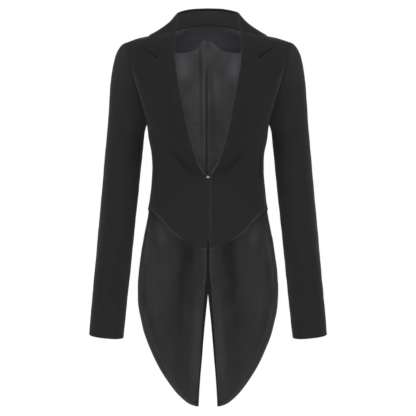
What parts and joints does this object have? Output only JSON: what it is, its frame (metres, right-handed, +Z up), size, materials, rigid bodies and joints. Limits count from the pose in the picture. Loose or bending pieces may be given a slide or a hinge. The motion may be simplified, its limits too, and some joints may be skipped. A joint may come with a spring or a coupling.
{
  "type": "tailcoat",
  "caption": "Women's tailcoat filled out as worn: wide peak lapels, pointed front hem closed by a hook and eye, set-in sleeves and satin-lined tails with a centre vent.",
  "frame": {"origin": "between the shoulders at the height where the collar meets them, where the wearer's shoulders hold the coat", "axes": "+Z up, -Y towards the coat's front, +X towards the wearer's left"},
  "size_m": [0.508, 0.2432, 0.8592],
  "materials": {
    "cloth": "black suiting, matte with a faint sheen",
    "lining": "black satin",
    "hook_and_eye": "plain nickel-coloured wire"
  },
  "bodies": {
    "root": {"front_left": "cloth", "front_right": "cloth", "back_left": "cloth", "back_right": "cloth", "tail_left": "cloth", "tail_right": "cloth", "sleeve_top_cap_left": "cloth", "sleeve_top_cap_right": "cloth", "sleeve_top_upper_left": "cloth", "sleeve_top_upper_right": "cloth", "sleeve_top_lower_left": "cloth", "sleeve_top_lower_right": "cloth", "sleeve_under_upper_left": "cloth", "sleeve_under_upper_right": "cloth", "sleeve_under_lower_left": "cloth", "sleeve_under_lower_right": "cloth", "lapel_left": "cloth", "lapel_right": "cloth", "collar_stand": "cloth", "collar_fall": "cloth", "neck_facing": "cloth", "lining_back_left": "lining", "lining_back_right": "lining", "lining_tail_left": "lining", "lining_tail_right": "lining", "hook": "hook_and_eye", "eye": "hook_and_eye"}
  },
  "joints": []
}
